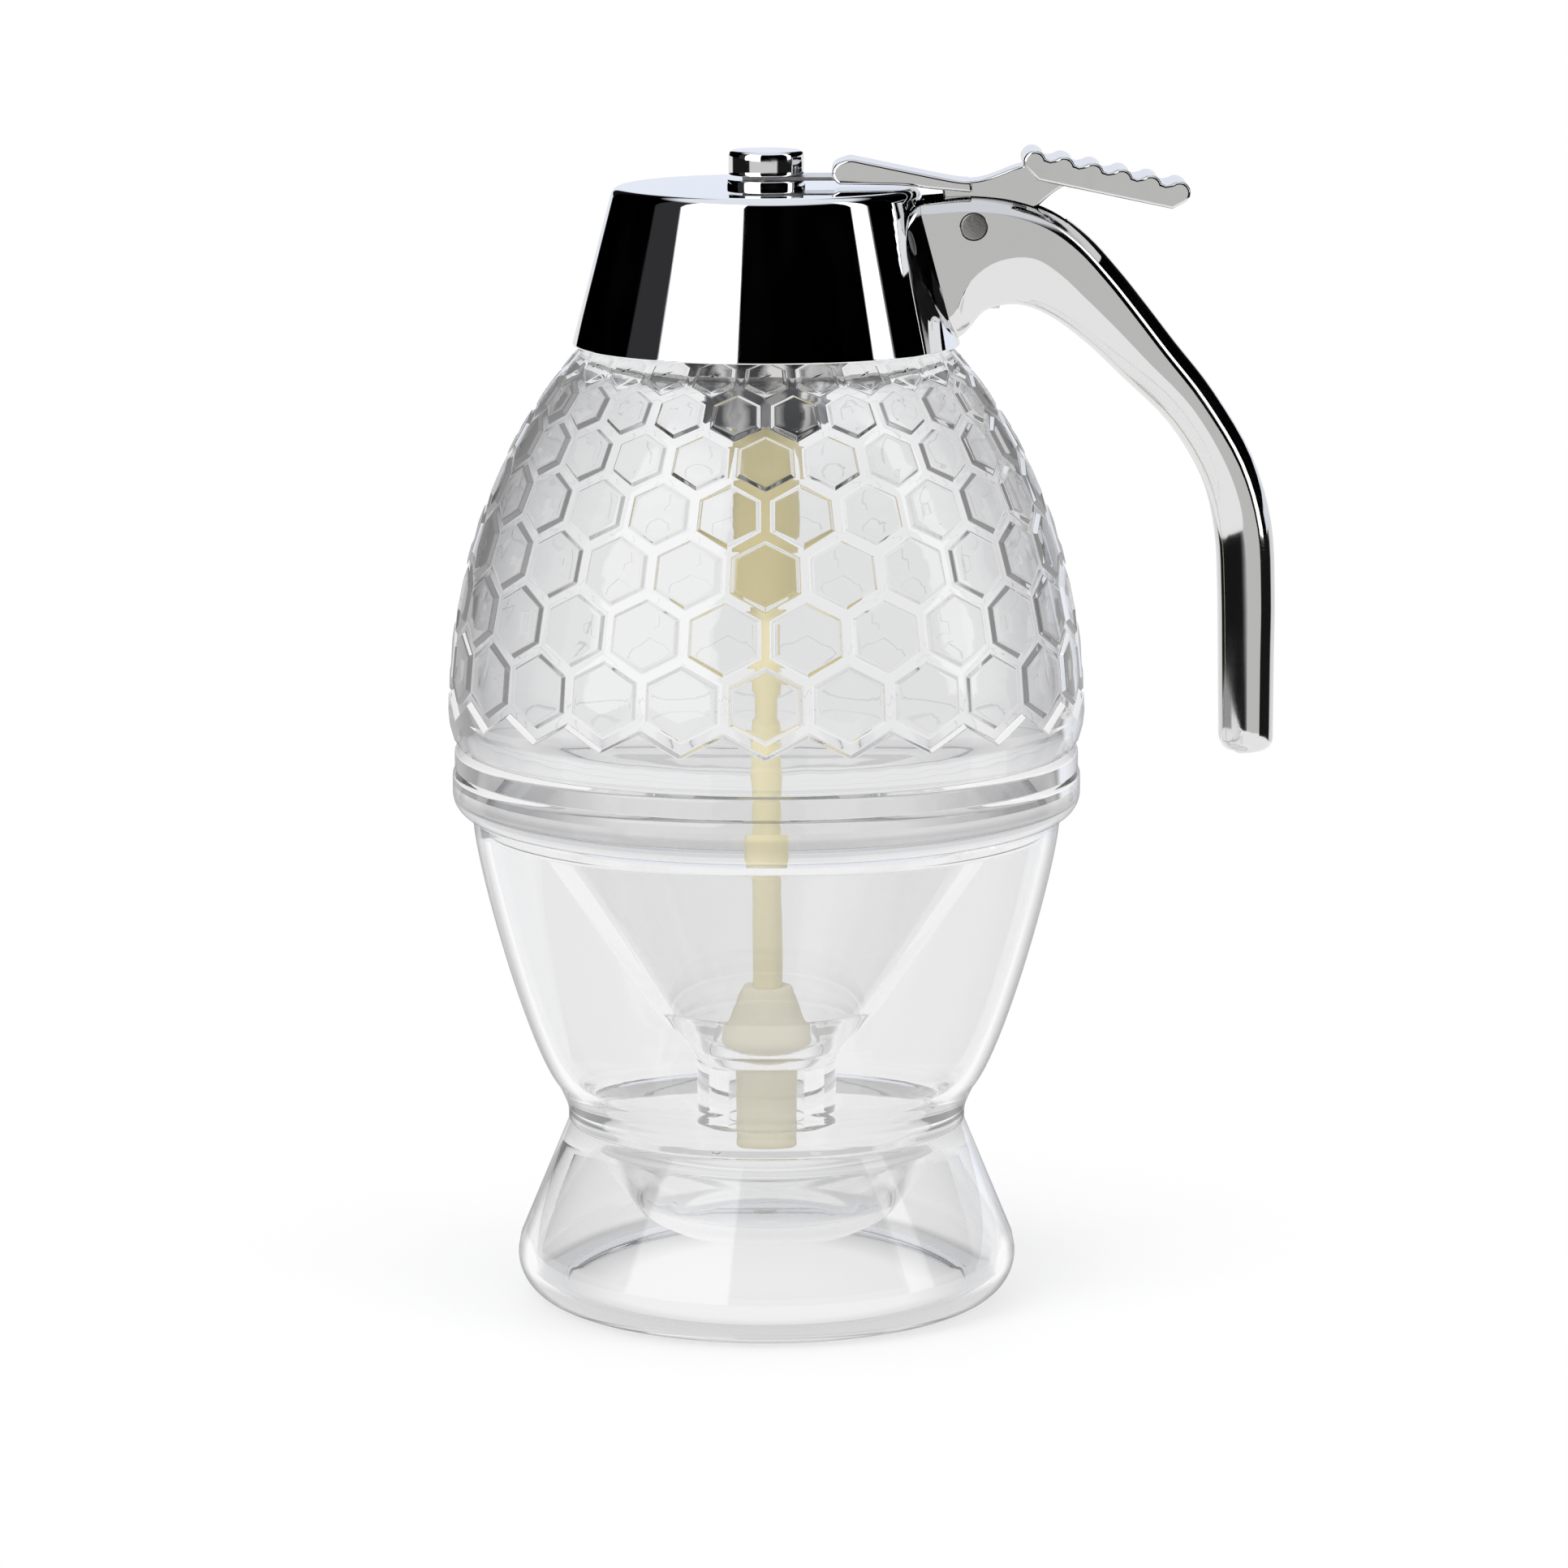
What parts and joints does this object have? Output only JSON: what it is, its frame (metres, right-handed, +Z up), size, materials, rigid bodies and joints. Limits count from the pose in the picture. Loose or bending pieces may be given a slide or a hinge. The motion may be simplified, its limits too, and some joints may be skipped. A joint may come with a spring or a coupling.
{
  "type": "honey dispenser",
  "caption": "Clear honeycomb honey jar with a funnel outlet, chrome lid with thumb lever and handle, and a clear stand that catches drips.",
  "frame": {"origin": "on the jar's axis, at table level under the foot", "axes": "+Z up along the jar's axis, +X towards the handle, -Y towards the viewer"},
  "size_m": [0.1069, 0.0826, 0.15],
  "materials": {
    "clear_stand": "clear polished acrylic",
    "clear_jar": "clear acrylic moulded with a honeycomb",
    "chrome": "bright chrome plating",
    "steel": "plain steel",
    "cream_plastic": "smooth cream plastic",
    "white_plastic": "plain white plastic",
    "silicone": "translucent cream silicone"
  },
  "bodies": {
    "stand": {"stand_bowl": "clear_stand", "stand_foot": "clear_stand"},
    "jar": {"funnel": "clear_jar", "jar_dome": "clear_jar", "jar_neck": "clear_jar"},
    "lid_seal": {"lid_gasket": "silicone"},
    "lid": {"lid_shell": "chrome", "screw_ring": "white_plastic", "rod_bush": "chrome", "spring_tube": "chrome", "guide_sleeve": "cream_plastic", "handle": "chrome", "handle_screws": "steel", "pivot_pin": "steel", "return_spring": "steel"},
    "lever": {"lever": "chrome", "lift_fork": "steel"},
    "valve": {"knob": "chrome", "valve_rod": "cream_plastic", "spring_washer": "steel", "rod_clip": "steel", "stopper": "silicone"}
  },
  "joints": [
    {"name": "jar_lift", "type": "slide", "parent": "stand", "child": "jar", "axis": [0, 0, 1], "range_m": [0, 0.065]},
    {"name": "lid_lift", "type": "slide", "parent": "jar", "child": "lid_seal", "axis": [0, 0, 1], "range_m": [0, 0.135]},
    {"name": "lid_turn", "type": "hinge", "parent": "lid_seal", "child": "lid", "pos_m": [0, 0, 0.1249], "axis": [0, 0, 1], "range_deg": [0, 360]},
    {"name": "lever_press", "type": "hinge", "parent": "lid", "child": "lever", "pos_m": [0.0264, 0, 0.14036], "axis": [0, 1, 0], "range_deg": [0, 12], "stiffness_Nm_per_rad": 0.2, "springref_deg": -20.05},
    {"name": "rod_lift", "type": "slide", "parent": "lid", "child": "valve", "axis": [0, 0, 1], "range_m": [0, 0.0062], "deforming": ["return_spring"]}
  ],
  "couplings": [
    {"joint": "rod_lift", "follows": "lever_press", "m_per_rad": 0.0293}
  ]
}
